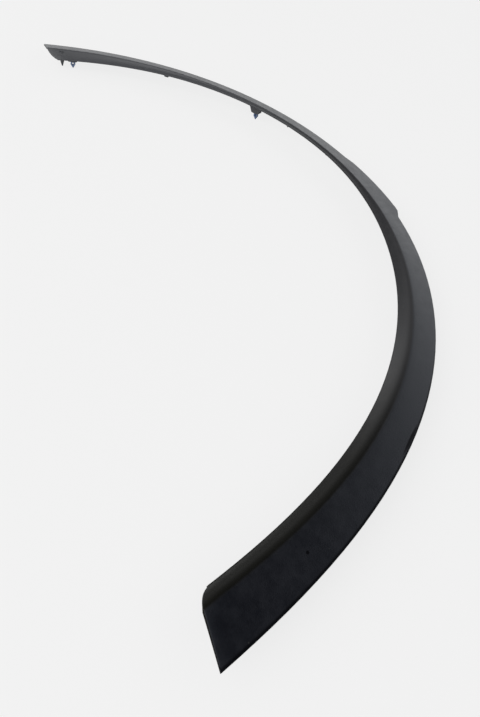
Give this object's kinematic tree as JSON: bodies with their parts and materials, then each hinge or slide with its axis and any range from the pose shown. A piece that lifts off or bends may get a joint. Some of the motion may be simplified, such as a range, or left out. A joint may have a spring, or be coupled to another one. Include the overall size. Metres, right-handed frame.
{
  "type": "wheel arch trim",
  "caption": "Curved band that trims a car's wheel opening, with a rounded crest, a turned-in lip and push clips under it.",
  "frame": {"origin": "middle of the bounding box in plan, at the tips of the clips that it lies on", "axes": "+X along the chord from the narrow tail to the wide foot, +Y towards the crown of the arch, +Z away from the car body, out of the face"},
  "size_m": [0.8118, 0.3324, 0.0222],
  "materials": {
    "moulding": "fine grain with a low sheen",
    "clip": "smooth, satin"
  },
  "bodies": {
    "root": {"arch_moulding": "moulding", "clip_1": "clip", "clip_2": "clip", "clip_3": "clip", "clip_4": "clip", "clip_5": "clip", "clip_6": "clip"}
  },
  "joints": []
}
